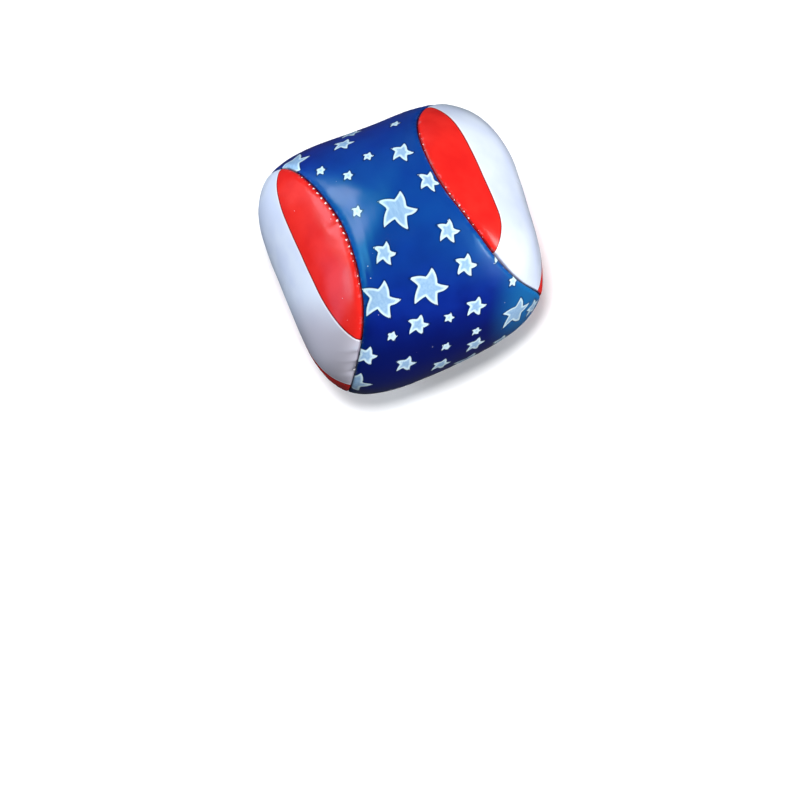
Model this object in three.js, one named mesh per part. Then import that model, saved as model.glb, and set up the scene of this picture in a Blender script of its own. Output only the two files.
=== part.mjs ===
// A footbag: two peanut-shaped vinyl panels, sewn edge to edge along one continuous seam, round a fill of
// loose plastic pellets. Millimetres, +Z up. The waist of the starred panel is on top and the waist of the
// striped panel is on the ground. The origin is on the ground, under the middle of the bag.
import * as THREE from "three";

// The bag
const bagWidth = 50; // across the two striped lobes, along X
const bagDepth = 49; // across the two starred lobes, along Y
const bagHeight = 50; // from waist to waist, along Z, before the bag settles
const settle = 1; // height lost where the filled bag flattens on the ground
const squareness = 4; // plan of the bag: 2 is round, and more is squarer

// The panels
const waistWidth = 19.5; // seam to seam across the starred panel's waist
const seamClimb = 0.72; // rise of the seam's turns against their reach sideways
const lobeMiddle = 105; // degrees along a panel from its waist to the middle of a lobe
const wall = 1.1; // printed vinyl with its cloth backing
const foldRadius = 1.5; // outside radius of an edge where it turns in at the seam
const allowance = 2.5; // edge turned in beyond its fold
const seamGap = 0.36; // between the two turned edges

// The threads
const threadDiameter = 0.5;
const stitchPitch = 1.5; // from one crossing of the seam to the next
const stitchReach = 0.5; // how far a stitch goes over each edge
const threadClearance = 0.15; // between a thread and the edges that it crosses
const openingLength = 18; // stretch of seam left open for filling, then sewn by hand
const openingTurn = 90; // degrees round the seam to the middle of that stretch
const closingDiameter = 0.6;
const closingPitch = 2.2;
const threadEndGap = 0.8; // between the ends of the two threads, along the seam
const knotSize = 0.62; // radius of the knot at the end of the closing thread
const knotThread = 0.25; // diameter of the thread where the knot pulls it tight
const knotRoom = 2.5; // stretch of seam kept for the knot

// The fill
const pelletDiameter = 3.8;
const pelletLength = 3;
const fillClearance = 0.3; // between the fill and the cover, and from pellet to pellet
const pelletRound = 0.45; // rounding of a pellet's ends
const looseCount = 31; // pellets that lie loose on the packed ones
const fillTravel = 4; // how far the fill moves when the bag is turned over
const allowanceBerth = 3; // kept free on each side of the turned edges
const berthRamp = 4.5; // over which that free space closes again

// How finely the surfaces are divided
const seamSteps = 96;
const foldSteps = 3;
const outerShares = [1, 0.8, 0.6, 0.4, 0.2];
const innerShares = [0.33, 0.66, 1];
const fillColumns = 40;
const fillRows = 20;
const arcSamples = 720;

const halfWidth = bagWidth / 2;
const halfDepth = bagDepth / 2;
const halfHeight = bagHeight / 2;
const restDepth = halfHeight - settle;
const middle = new THREE.Vector3(0, 0, restDepth);
const fullTurn = 2 * Math.PI;

// The outside of the bag, as a distance from its middle along a unit vector
function reach(direction) {
  const x = Math.abs(direction.x) / halfWidth;
  const y = Math.abs(direction.y) / halfDepth;
  const z = Math.abs(direction.z) / halfHeight;
  const plan = (x ** squareness + y ** squareness) ** (2 / squareness);
  const skin = 1 / Math.sqrt(plan + z * z);
  const ground = direction.z < 0 ? restDepth / -direction.z : Infinity;
  return Math.min(skin, ground);
}

// The seam winds once round the bag, over a panel's waist four times in all
const waistShare = seamClimb * Math.tan(Math.asin(waistWidth / bagWidth));
function seamDirection(turn) {
  const round = (1 + waistShare) / 2;
  const swing = (1 - waistShare) / 2;
  return new THREE.Vector3(
    halfWidth * (round * Math.cos(turn) - swing * Math.cos(3 * turn)),
    halfDepth * (round * Math.sin(turn) + swing * Math.sin(3 * turn)),
    halfHeight * seamClimb * Math.cos(2 * turn),
  ).normalize();
}

function seamPoint(turn) {
  const direction = seamDirection(turn);
  return direction.multiplyScalar(reach(direction));
}

// A panel fills the seam from a spine that runs along its middle, from lobe to lobe
function starSpine(turn) {
  const along = THREE.MathUtils.degToRad(lobeMiddle) * Math.sin(turn);
  return new THREE.Vector3(0, halfDepth * Math.sin(along), halfHeight * Math.cos(along)).normalize();
}

function stripeSpine(turn) {
  const along = THREE.MathUtils.degToRad(lobeMiddle) * Math.sin(turn);
  return new THREE.Vector3(halfWidth * Math.sin(along), 0, -halfHeight * Math.cos(along)).normalize();
}

// A point of a panel, a distance in from the seam and a depth under the outside
function panelPoint(spine, edge, share, inset, depth) {
  const angle = spine.angleTo(edge);
  const run = angle * reach(edge);
  const fromEdge = inset + share * (run - inset);
  const part = 1 - fromEdge / run;
  const direction = new THREE.Vector3()
    .addScaledVector(spine, Math.sin((1 - part) * angle) / Math.sin(angle))
    .addScaledVector(edge, Math.sin(part * angle) / Math.sin(angle));
  return direction.multiplyScalar(reach(direction) - depth).add(middle);
}

// Section of a panel from its spine outside, round the fold and the turned edge, to its spine inside
function panelSection() {
  const foldInset = seamGap / 2 + foldRadius;
  const section = outerShares.map((share) => [share, foldInset, 0]);
  for (let step = 0; step <= foldSteps; step++) {
    const bend = (Math.PI / 2) * (step / foldSteps);
    section.push([0, foldInset - foldRadius * Math.sin(bend), foldRadius * (1 - Math.cos(bend))]);
  }
  section.push([0, seamGap / 2, foldRadius + allowance]);
  section.push([0, seamGap / 2 + wall, foldRadius + allowance]);
  section.push([0, seamGap / 2 + wall, foldRadius]);
  section.push([0, foldInset, wall]);
  innerShares.forEach((share) => section.push([share, foldInset, wall]));
  return section;
}

function panelGeometry(spineAt, edgeAt) {
  const section = panelSection();
  const rows = section.length;
  const positions = [];
  const triangles = [];
  for (let step = 0; step < seamSteps; step++) {
    const turn = (fullTurn * step) / seamSteps;
    const spine = spineAt(turn);
    const edge = edgeAt(turn);
    for (const [share, inset, depth] of section) {
      positions.push(...panelPoint(spine, edge, share, inset, depth).toArray());
    }
    const here = step * rows;
    const next = ((step + 1) % seamSteps) * rows;
    for (let row = 0; row + 1 < rows; row++) {
      triangles.push(here + row, here + row + 1, next + row + 1);
      triangles.push(here + row, next + row + 1, next + row);
    }
  }
  const geometry = new THREE.BufferGeometry();
  geometry.setAttribute("position", new THREE.Float32BufferAttribute(positions, 3));
  geometry.setIndex(triangles);
  geometry.computeVertexNormals();
  return geometry;
}

// Length along the seam, measured once, to space the stitches evenly
const seamLengths = [0];
for (let sample = 1; sample <= arcSamples; sample++) {
  const from = seamPoint((fullTurn * (sample - 1)) / arcSamples);
  const to = seamPoint((fullTurn * sample) / arcSamples);
  seamLengths.push(seamLengths[sample - 1] + from.distanceTo(to));
}
const seamLength = seamLengths[arcSamples];

function lengthAt(turn) {
  const place = (turn / fullTurn) * arcSamples;
  const sample = Math.floor(place);
  return THREE.MathUtils.lerp(seamLengths[sample], seamLengths[sample + 1], place - sample);
}

function turnAt(length) {
  const wanted = THREE.MathUtils.euclideanModulo(length, seamLength);
  const after = seamLengths.findIndex((reached) => reached > wanted);
  const part = (wanted - seamLengths[after - 1]) / (seamLengths[after] - seamLengths[after - 1]);
  return (fullTurn * (after - 1 + part)) / arcSamples;
}

// A thread that crosses the seam to and fro, and lies on the folded edges at each side of it
class StitchPath extends THREE.Curve {
  constructor(start, length, pitch, diameter) {
    super();
    this.start = start;
    this.length = length;
    this.crossings = 2 * Math.max(1, Math.round(length / (2 * pitch)));
    this.lift = foldRadius + diameter / 2 + threadClearance;
  }
  getPoint(part) {
    const turn = turnAt(this.start + part * this.length);
    const nearby = fullTurn / arcSamples;
    const along = seamPoint(turn + nearby).sub(seamPoint(turn - nearby)).normalize();
    const out = seamDirection(turn);
    const aside = new THREE.Vector3().crossVectors(along, out).normalize();
    const reached = stitchReach * Math.cos(Math.PI * this.crossings * part);
    const foldAside = seamGap / 2 + foldRadius - Math.abs(reached);
    const depth = foldRadius - Math.sqrt(this.lift ** 2 - foldAside ** 2);
    return seamPoint(turn).addScaledVector(out, -depth).addScaledVector(aside, reached).add(middle);
  }
  getPointAt(part) {
    return this.getPoint(part);
  }
  getTangentAt(part) {
    return this.getTangent(part);
  }
}

function roundSection(diameter, sides) {
  const corners = [];
  for (let side = 0; side < sides; side++) {
    const angle = (fullTurn * side) / sides;
    corners.push(new THREE.Vector2((diameter / 2) * Math.cos(angle), (diameter / 2) * Math.sin(angle)));
  }
  return new THREE.Shape(corners);
}

function threadGeometry(path, diameter) {
  const stepsPerCrossing = 3;
  const sides = 4;
  return new THREE.ExtrudeGeometry(roundSection(diameter, sides), {
    steps: stepsPerCrossing * path.crossings,
    extrudePath: path,
    bevelEnabled: false,
  });
}

// Space inside the cover, as a distance from its middle, less where the turned edges reach in
const seamPoints = [];
const berthSamples = 180;
for (let sample = 0; sample < berthSamples; sample++) {
  seamPoints.push(seamPoint((fullTurn * sample) / berthSamples));
}

function innerReach(direction) {
  const outside = reach(direction);
  const skin = direction.clone().multiplyScalar(outside);
  const fromSeam = Math.min(...seamPoints.map((point) => point.distanceTo(skin)));
  const berth = seamGap / 2 + wall + fillClearance + allowanceBerth;
  const closing = THREE.MathUtils.smoothstep(fromSeam, berth, berth + berthRamp);
  const depth = THREE.MathUtils.lerp(foldRadius + allowance, wall, closing);
  return outside - depth - fillClearance;
}

// Whether a ball of the fill stays inside the cover at rest, half risen and fully risen
function staysInside(point, radius) {
  return [0, 0.5, 1].every((part) => {
    const place = point.clone().setZ(point.z + part * fillTravel).sub(middle);
    const distance = place.length();
    return distance + radius <= innerReach(place.divideScalar(distance));
  });
}

// Loose pellets lie in staggered rows, those nearest the middle of the bag first
const looseHeight = Math.hypot(pelletDiameter, pelletLength);
function loosePlaces() {
  const pitch = looseHeight + fillClearance;
  const rows = Math.ceil(Math.sqrt(looseCount));
  const places = [];
  for (let row = -rows; row <= rows; row++) {
    for (let column = -rows; column <= rows; column++) {
      const stagger = row % 2 === 0 ? 0 : 0.5;
      const y = pitch * row * Math.cos(Math.PI / 6);
      places.push(new THREE.Vector3(pitch * (column + stagger), y, 0));
    }
  }
  const fromMiddle = (place) => Math.round(place.length() / fillClearance);
  places.sort((a, b) => fromMiddle(a) - fromMiddle(b) || Math.atan2(a.y, a.x) - Math.atan2(b.y, b.x));
  return places.slice(0, looseCount);
}

// Top of the packed pellets: as high as lets the loose ones on it travel without touching the cover
const loose = loosePlaces();
const halvings = 24;
let bedTop = restDepth;
for (let step = halfHeight / 2; step > halfHeight / 2 ** halvings; step /= 2) {
  const middleHeight = bedTop + step + fillClearance + looseHeight / 2;
  const clear = loose.every((place) => staysInside(place.clone().setZ(middleHeight), looseHeight / 2));
  if (clear) bedTop += step;
}
const bedMiddle = new THREE.Vector3(0, 0, bedTop / 2);

// The packed pellets: what the cover holds up to a level top
function bedGeometry() {
  const geometry = new THREE.SphereGeometry(1, fillColumns, fillRows).rotateX(Math.PI / 2);
  geometry.deleteAttribute("normal");
  geometry.deleteAttribute("uv");
  const place = geometry.getAttribute("position");
  const direction = new THREE.Vector3();
  for (let index = 0; index < place.count; index++) {
    direction.fromBufferAttribute(place, index).normalize();
    let near = 0;
    let far = direction.z > 0 ? Math.min(bagWidth, (bedTop - bedMiddle.z) / direction.z) : bagWidth;
    if (!staysInside(bedMiddle.clone().addScaledVector(direction, far), 0)) {
      for (let halving = 0; halving < halvings; halving++) {
        const half = (near + far) / 2;
        if (staysInside(bedMiddle.clone().addScaledVector(direction, half), 0)) near = half;
        else far = half;
      }
      far = near;
    }
    const point = bedMiddle.clone().addScaledVector(direction, far);
    place.setXYZ(index, point.x, point.y, point.z);
  }
  geometry.computeVertexNormals();
  return geometry;
}

// A pellet: a short rod of plastic with rounded ends
function pelletGeometry() {
  const sides = 8;
  const radius = pelletDiameter / 2;
  const half = pelletLength / 2;
  const profile = [
    [0, -half],
    [radius - pelletRound, -half],
    [radius, -half + pelletRound],
    [radius, half - pelletRound],
    [radius - pelletRound, half],
    [0, half],
  ].map(([x, y]) => new THREE.Vector2(x, y));
  return new THREE.LatheGeometry(profile, sides).rotateX(Math.PI / 2);
}

const starVinyl = new THREE.MeshStandardMaterial({ color: 0x1c2f96, roughness: 0.32, metalness: 0 });
const stripeVinyl = new THREE.MeshStandardMaterial({ color: 0xe8332c, roughness: 0.32, metalness: 0 });
const threadWhite = new THREE.MeshStandardMaterial({ color: 0xf1f1ee, roughness: 0.8, metalness: 0 });
const pelletPlastic = new THREE.MeshStandardMaterial({ color: 0xd9dde0, roughness: 0.45, metalness: 0 });

function named(name, geometry, material) {
  const mesh = new THREE.Mesh(geometry, material);
  mesh.name = name;
  return mesh;
}

const footbag = new THREE.Group();
const quarter = Math.PI / 2;
const starPanel = panelGeometry(starSpine, seamDirection);
const stripePanel = panelGeometry(stripeSpine, (turn) => seamDirection(quarter - turn));
footbag.add(named("star_panel", starPanel, starVinyl));
footbag.add(named("stripe_panel", stripePanel, stripeVinyl));

const openingMiddle = lengthAt(THREE.MathUtils.degToRad(openingTurn));
const seamStart = openingMiddle + openingLength / 2;
const seamPath = new StitchPath(seamStart, seamLength - openingLength, stitchPitch, threadDiameter);
footbag.add(named("seam_thread", threadGeometry(seamPath, threadDiameter), threadWhite));

// The closing thread, between the ends of the seam thread, and its knot
const closingStart = openingMiddle - openingLength / 2 + threadEndGap;
const closingLength = openingLength - 2 * threadEndGap - knotRoom;
const closingPath = new StitchPath(closingStart, closingLength, closingPitch, closingDiameter);
footbag.add(named("closing_thread", threadGeometry(closingPath, closingDiameter), threadWhite));

const knotTurn = turnAt(closingStart + closingLength + knotRoom / 2);
const knotOut = seamDirection(knotTurn);
const knotHeight = knotSize / 2 + knotThread / 2;
const knotGeometry = new THREE.TorusKnotGeometry(knotSize, knotThread / 2, 48, 5);
const knot = named("closing_knot", knotGeometry, threadWhite);
knot.position.copy(seamPoint(knotTurn).addScaledVector(knotOut, knotHeight).add(middle));
knot.quaternion.setFromUnitVectors(new THREE.Vector3(0, 0, 1), knotOut);
footbag.add(knot);

const fill = new THREE.Group();
fill.add(named("pellet_bed", bedGeometry(), pelletPlastic));
const goldenTurn = Math.PI * (3 - Math.sqrt(5));
const steepest = Math.PI / 2;
loose.forEach((place, index) => {
  const pellet = named(`pellet_${String(index + 1).padStart(2, "0")}`, pelletGeometry(), pelletPlastic);
  const lean = steepest * ((index * goldenTurn) % 1);
  const standing = (pelletDiameter / 2) * Math.sin(lean) + (pelletLength / 2) * Math.cos(lean);
  pellet.position.copy(place).setZ(bedTop + fillClearance + standing);
  pellet.rotation.set(lean, 0, index * goldenTurn, "ZXY");
  fill.add(pellet);
});
footbag.add(fill);

export default footbag;
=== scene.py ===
import math

import bpy
import numpy as np
from mathutils import Matrix, Quaternion, Vector
from mathutils.bvhtree import BVHTree


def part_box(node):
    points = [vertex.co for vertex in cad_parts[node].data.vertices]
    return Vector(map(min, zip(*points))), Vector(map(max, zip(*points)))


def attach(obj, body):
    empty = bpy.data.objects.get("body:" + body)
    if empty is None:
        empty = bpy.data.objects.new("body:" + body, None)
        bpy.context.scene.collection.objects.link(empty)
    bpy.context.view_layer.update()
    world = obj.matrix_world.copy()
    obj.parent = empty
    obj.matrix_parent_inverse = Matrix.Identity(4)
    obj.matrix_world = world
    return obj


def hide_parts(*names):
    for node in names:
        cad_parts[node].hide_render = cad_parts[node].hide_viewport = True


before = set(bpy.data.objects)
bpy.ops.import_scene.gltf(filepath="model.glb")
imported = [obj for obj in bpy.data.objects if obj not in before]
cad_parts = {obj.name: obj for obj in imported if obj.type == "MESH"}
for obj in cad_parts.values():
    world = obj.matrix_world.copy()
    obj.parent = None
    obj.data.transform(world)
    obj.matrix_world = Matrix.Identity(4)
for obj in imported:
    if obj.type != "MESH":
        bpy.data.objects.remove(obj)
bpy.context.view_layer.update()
bpy.ops.object.select_all(action="DESELECT")

metre = 0.001  # everything below is worked out in millimetres

# The bag's outside and its seam, as the solids have them
bag = {
    "halfWidth": 25,
    "halfDepth": 24.5,
    "halfHeight": 25,
    "restDepth": 24,  # middle of the bag above the ground
    "restBlend": 0.5,  # rounding round the flat patch on the ground
    "squareness": 4,
    "waistWidth": 19.5,
    "seamClimb": 0.72,
    "lobeMiddle": 105,  # degrees from a panel's waist to the middle of a lobe
}
middle = np.array([0, 0, bag["restDepth"]])

# A soft bag is never quite even: some of its corners and sides stand out and others fall in
uneven = {
    "twist": 2.5,  # degrees that the top of the seam is turned round the bag
    "spread": 0.42,  # radians
    # where it stands out or falls in, and by how many millimetres
    "rises": (
        ((-0.55, 0.85, 0.3), 0.8), ((-1, -1, 0.1), 0.9), ((1, -1, 0.1), -1.9), ((1, 0.4, 0.2), 2.0),
        ((1, 1, 0.1), -0.8), ((0, -1, 0), 0.6), ((0.25, 1, 0.3), -0.4), ((-1, 0.5, 0.1), -0.5),
    ),
    # where the seam wanders: degrees round it, how far aside, over how many degrees
    "strays": (
        (150, -1.5, 14), (180, 0.6, 16), (228, -1.1, 14),
        (332, -0.7, 14), (355, 1.1, 16), (15, -0.8, 14),
    ),
}


def unit(vectors):
    return vectors / np.linalg.norm(vectors, axis=-1, keepdims=True)


# Distance from the bag's middle to its outside, along unit vectors
def reach(direction):
    skin = evenReach(direction)
    for centre, rise in uneven["rises"]:
        angle = np.arccos(np.clip(direction @ unit(np.array(centre)), -1, 1))
        skin = skin + rise * np.exp(-((angle / uneven["spread"]) ** 2))
    return skin


# The same for the bag without its unevenness
def evenReach(direction):
    x = np.abs(direction[..., 0]) / bag["halfWidth"]
    y = np.abs(direction[..., 1]) / bag["halfDepth"]
    z = direction[..., 2] / bag["halfHeight"]
    plan = (x ** bag["squareness"] + y ** bag["squareness"]) ** (2 / bag["squareness"])
    skin = 1 / np.sqrt(plan + z * z)
    down = np.maximum(-direction[..., 2], 0.05)  # a level direction never meets the ground
    ground = bag["restDepth"] / down
    near = np.clip(0.5 + (ground - skin) / (2 * bag["restBlend"]), 0, 1)
    return ground + (skin - ground) * near - bag["restBlend"] * near * (1 - near)


# Degrees round the seam from one place on it, from -180 to 180
def degreesFrom(turn, centre):
    return np.mod(np.degrees(turn) - centre + 180, 360) - 180


# Direction of the seam from the bag's middle, with its strays and the twist
def seamDirection(turn):
    plain = plainSeam(turn)
    ahead = plainSeam(turn + 0.01)  # a small step along the seam
    aside = unit(np.cross(ahead - plain, plain))
    for centre, away, width in uneven["strays"]:
        gap = degreesFrom(turn, centre)
        plain = plain + aside * (away / bag["halfWidth"] * np.exp(-((gap / width) ** 2)))[..., None]
    x, y, z = unit(plain).T
    twist = math.radians(uneven["twist"]) * z
    cosine, sine = np.cos(twist), np.sin(twist)
    return np.stack([x * cosine - y * sine, x * sine + y * cosine, z], axis=-1)


# The seam as the solids have it
def plainSeam(turn):
    share = bag["seamClimb"] * math.tan(math.asin(bag["waistWidth"] / (2 * bag["halfWidth"])))
    roundPart = (1 + share) / 2
    swingPart = (1 - share) / 2
    x = bag["halfWidth"] * (roundPart * np.cos(turn) - swingPart * np.cos(3 * turn))
    y = bag["halfDepth"] * (roundPart * np.sin(turn) + swingPart * np.sin(3 * turn))
    z = bag["halfHeight"] * bag["seamClimb"] * np.cos(2 * turn)
    return unit(np.stack([x, y, z], axis=-1))


# Length along the seam at evenly spaced turns, to space stitches and puckers
seamSteps = 2880
seamTurns = np.linspace(0, 2 * np.pi, seamSteps + 1)
seamLine = seamDirection(seamTurns)
seamLine = seamLine * reach(seamLine)[:, None]
seamLengths = np.concatenate([[0], np.cumsum(np.linalg.norm(np.diff(seamLine, axis=0), axis=1))])
seamLength = seamLengths[-1]


def lengthAt(turn):
    return np.interp(np.mod(turn, 2 * np.pi), seamTurns, seamLengths)


def turnAt(length):
    return np.interp(np.mod(length, seamLength), seamLengths, seamTurns)


def addAttribute(mesh, name, values):
    attribute = mesh.attributes.new(name, "FLOAT", "POINT")
    attribute.data.foreach_set("value", np.asarray(values, np.float32).ravel())


# A new piece, and the only one selected
def addPiece(name, data):
    piece = bpy.data.objects.new(name, data)
    bpy.context.scene.collection.objects.link(piece)
    bpy.ops.object.select_all(action="DESELECT")
    piece.select_set(True)
    bpy.context.view_layer.objects.active = piece
    return piece


# Smooth random ups and downs along the seam, from -1 to 1, that meet after one round
def ripple(length, spacing, seed):
    count = round(seamLength / spacing)
    heights = np.random.default_rng(seed).uniform(-1, 1, count)
    place = np.mod(length, seamLength) / seamLength * count
    low = np.floor(place).astype(int)
    part = place - low
    part = part * part * (3 - 2 * part)
    return heights[low % count] * (1 - part) + heights[(low + 1) % count] * part


# Gentle unevenness of a surface that lies on pellets, from about -1 to 1
def lumps(points, size, seed):
    chance = np.random.default_rng(seed)
    total = np.zeros(points.shape[:-1])
    waves = 9
    shortest, longest = 0.7, 1.5  # shares of the size
    for wave in range(waves):
        along = unit(chance.normal(size=3)) * 2 * np.pi / (size * chance.uniform(shortest, longest))
        total += np.sin(points @ along + chance.uniform(0, 2 * np.pi))
    return total / math.sqrt(waves)


# The cut edge, fold and puckers that both panels share
panelMake = {
    "columns": 720,
    "evenColumns": 0.25,  # share of their spacing that is even, where the rest crowds the lobes' ends
    "outerRows": 60,
    "crowding": 1.2,  # rows lie closer together towards the seam
    "foldRows": 7,
    "foldRadius": 0.6,
    "halfGap": 0.03,
    "wall": 1.1,
    "allowance": 2.2,
    "cornerDepth": 0.3,  # from the fold to the corner between the allowance and the inside
    "innerShares": (0.03, 0.12, 0.3, 0.5, 0.75, 1),
    "sink": 0.52,  # how far the seam draws the panels in
    "cornerSink": 0.05,  # and where it goes round the bag's corners
    "pucker": 0.06,
    "puckerSpacing": 2.7,
    "puckerRun": 2.0,
    "gather": 0.06,
    "gatherSpacing": 8,
    "gatherRun": 5,
    "wrinkleTurn": 212,  # degrees round the seam to where it creases the striped panel
    "wrinkleSpan": 7,
    "wrinkleSpacing": 0.9,
    "wrinkleRun": 1.2,
    "stitchPitch": 1.5,
    "stitchDent": 0.07,
    "stitchRun": 0.7,
    "lump": 0.025,
    "lumpSize": 6,
}

starPanel = {
    "piece": "star_cover",
    "node": "star_panel",
    "slot": "star_vinyl",
    "spine": lambda bend: np.stack(
        [0 * bend, bag["halfDepth"] * np.sin(bend), bag["halfHeight"] * np.cos(bend)], axis=-1
    ),
    "seamTurn": lambda turn: turn,
    "sinkRun": 3.2,
    "wrinkle": 0,
    "seed": 11,
}
stripePanel = {
    "piece": "stripe_cover",
    "node": "stripe_panel",
    "slot": "stripe_vinyl",
    "spine": lambda bend: np.stack(
        [bag["halfWidth"] * np.sin(bend), 0 * bend, -bag["halfHeight"] * np.cos(bend)], axis=-1
    ),
    "seamTurn": lambda turn: np.pi / 2 - turn,
    "sinkRun": 0.6,
    "wrinkle": 0.8,
    "seed": 23,
}


# Directions over a panel: one row of the section for each share and inset, one column for each turn
def panelDirections(panel, turns, shares, insets):
    even = panelMake["evenColumns"]
    swing = (1 - even) * np.sin(turns) + even * np.arcsin(np.sin(turns)) * 2 / np.pi
    spine = unit(panel["spine"](math.radians(bag["lobeMiddle"]) * swing))[:, None]
    edge = seamDirection(panel["seamTurn"](turns))[:, None]
    angle = np.arccos(np.clip((spine * edge).sum(-1), -1, 1))
    run = angle * reach(edge)
    fromEdge = insets + shares * (run - insets)
    part = 1 - fromEdge / run
    towardsSpine = (np.sin((1 - part) * angle) / np.sin(angle))[..., None]
    towardsEdge = (np.sin(part * angle) / np.sin(angle))[..., None]
    return towardsSpine * spine + towardsEdge * edge, fromEdge


# How far the seam is drawn in, which is least where it goes round the bag's corners
def seamSink(seamTurn):
    make = panelMake
    return make["cornerSink"] + (make["sink"] - make["cornerSink"]) * np.cos(2 * seamTurn) ** 2


# How far the outside lies above the plain bag, near the seam and elsewhere
def panelRelief(panel, turns, direction, fromEdge, edgeInset):
    make = panelMake
    length = lengthAt(panel["seamTurn"](turns))[:, None]
    inward = np.maximum(fromEdge - edgeInset, 0)
    seamTurn = panel["seamTurn"](turns)[:, None]
    relief = -seamSink(seamTurn) * np.exp(-inward / panel["sinkRun"])
    pucker = ripple(length, make["puckerSpacing"], panel["seed"])
    relief = relief + make["pucker"] * pucker * np.exp(-inward / make["puckerRun"])
    gather = ripple(length, make["gatherSpacing"], panel["seed"] + 1)
    relief = relief + make["gather"] * gather * np.exp(-inward / make["gatherRun"])
    wrinkled = np.exp(-((degreesFrom(seamTurn, make["wrinkleTurn"]) / make["wrinkleSpan"]) ** 4))
    wrinkle = ripple(length, make["wrinkleSpacing"], panel["seed"] + 3) * wrinkled
    relief = relief + panel["wrinkle"] * wrinkle * np.exp(-inward / make["wrinkleRun"])
    stitch = 0.5 + 0.5 * np.cos(2 * np.pi * length / make["stitchPitch"])
    relief = relief - make["stitchDent"] * stitch * np.exp(-((inward / make["stitchRun"]) ** 2))
    points = direction * reach(direction)[..., None]
    return relief + make["lump"] * lumps(points, make["lumpSize"], panel["seed"] + 2)


# Section of a panel from its spine outside, round the fold and turned edge, to its spine inside
def panelSection(panel):
    make = panelMake
    lean = math.atan(make["sink"] / panel["sinkRun"])
    edgeInset = make["halfGap"] + make["foldRadius"] * (1 - math.sin(lean))
    rows = []
    for row in range(make["outerRows"]):
        share = (1 - row / (make["outerRows"] - 1)) ** make["crowding"]
        rows.append((share, edgeInset, 0))
    for row in range(1, make["foldRows"] + 1):
        bend = lean + (math.pi / 2 - lean) * row / make["foldRows"]
        inset = make["halfGap"] + make["foldRadius"] * (1 - math.sin(bend))
        rows.append((0, inset, make["foldRadius"] * (math.cos(lean) - math.cos(bend))))
    foldDepth = rows[-1][2]
    rows.append((0, make["halfGap"], foldDepth + make["allowance"] / 2))
    rows.append((0, make["halfGap"], foldDepth + make["allowance"]))
    outside = len(rows)
    rows.append((0, make["halfGap"] + make["wall"], foldDepth + make["allowance"]))
    rows.append((0, make["halfGap"] + make["wall"], foldDepth + make["cornerDepth"]))
    for share in make["innerShares"]:
        rows.append((share, edgeInset, make["wall"]))
    return np.array(rows), edgeInset, outside


# The pellets press the panels outwards, so each panel's outside is plumped by a trial in cloth
plump = {
    "columns": 360,
    "rows": 30,
    "scale": 20,  # the trial is made larger, because cloth is meant for larger things
    "pressure": 4,
    "stiffness": 40,
    "bending": 20,
    "ease": 0.003,  # cloth to spare, which puckers along the seam
    "frames": 24,
    "start": 0.35,  # it starts from a slightly smaller bag
    "startRun": 3,
    "cap": 1.2,
    "quality": 6,
    "evening": 80,  # passes that take the pinches out at the ends of the spine
    "eveningShare": 0.5,
}


# Values between the rows of a grid, along its first side
def between(values, places, wraps):
    low = np.floor(places).astype(int)
    part = (places - low).reshape((-1,) + (1,) * (values.ndim - 1))
    near = []
    for step in (-1, 0, 1, 2):
        index = (low + step) % len(values) if wraps else np.clip(low + step, 0, len(values) - 1)
        near.append(values[index])
    before, start, end, after = near
    cubic = 3 * (start - end) + after - before
    square = 2 * before - 5 * start + 4 * end - after
    return start + 0.5 * part * (end - before + part * (square + part * cubic))


# How far the trial moves each point of a panel, given by turn and share
def plumpMoves(panel, turns, shares, edgeInset):
    columns, rows = plump["columns"], plump["rows"]
    trialTurns = 2 * np.pi * np.arange(columns) / columns
    trialShares = (1 - np.arange(rows) / (rows - 1)) ** panelMake["crowding"]
    direction, fromEdge = panelDirections(panel, trialTurns, trialShares, edgeInset)
    relief = panelRelief(panel, trialTurns, direction, fromEdge, edgeInset)
    slimmer = plump["start"] * (1 - np.exp(-fromEdge / plump["startRun"]))
    start = direction * (reach(direction) + relief - slimmer)[..., None]
    # each column meets its partner at the spine
    partner = (columns // 2 - np.arange(columns)) % columns
    place = np.arange(columns * rows).reshape(columns, rows)
    place[:, 0] = place[np.minimum(np.arange(columns), partner), 0]
    used, place = np.unique(place, return_inverse=True)
    place = place.reshape(columns, rows)
    beside = np.roll(place, -1, axis=0)
    corners = [place[:, :-1], place[:, 1:], beside[:, 1:], beside[:, :-1]]
    faces = np.stack(corners, axis=-1).reshape(-1, 4)
    points = start.reshape(-1, 3)[used]
    first = points[faces[:, 0]]
    outwards = np.cross(points[faces[:, 1]] - first, points[faces[:, 3]] - first)
    if (outwards * first).sum() < 0:
        faces = faces[:, ::-1]
    enlarged = clothTrial(points * metre * plump["scale"], faces, place[:, -1])
    moved = enlarged / (metre * plump["scale"])
    moves = (moved - points)[place]
    length = np.linalg.norm(moves, axis=-1, keepdims=True)
    moves = moves * plump["cap"] * np.tanh(length / plump["cap"]) / np.maximum(length, 1e-9)
    moves = moves - direction * slimmer[..., None]
    nearSpine = plump["eveningShare"] * trialShares[:, None] ** 2
    for step in range(plump["evening"]):
        neighbours = (np.roll(moves, 1, axis=0) + np.roll(moves, -1, axis=0)) / 2
        moves = moves + (neighbours - moves) * nearSpine
    moves = between(moves, turns / (2 * np.pi) * columns, True)
    mirrored = moves[(len(turns) // 2 - np.arange(len(turns))) % len(turns), 1]
    moves = np.concatenate([mirrored[:, None], moves], axis=1).swapaxes(0, 1)
    rowPlaces = 1 + (1 - shares ** (1 / panelMake["crowding"])) * (rows - 1)
    return between(moves, rowPlaces, False).swapaxes(0, 1)


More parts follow.
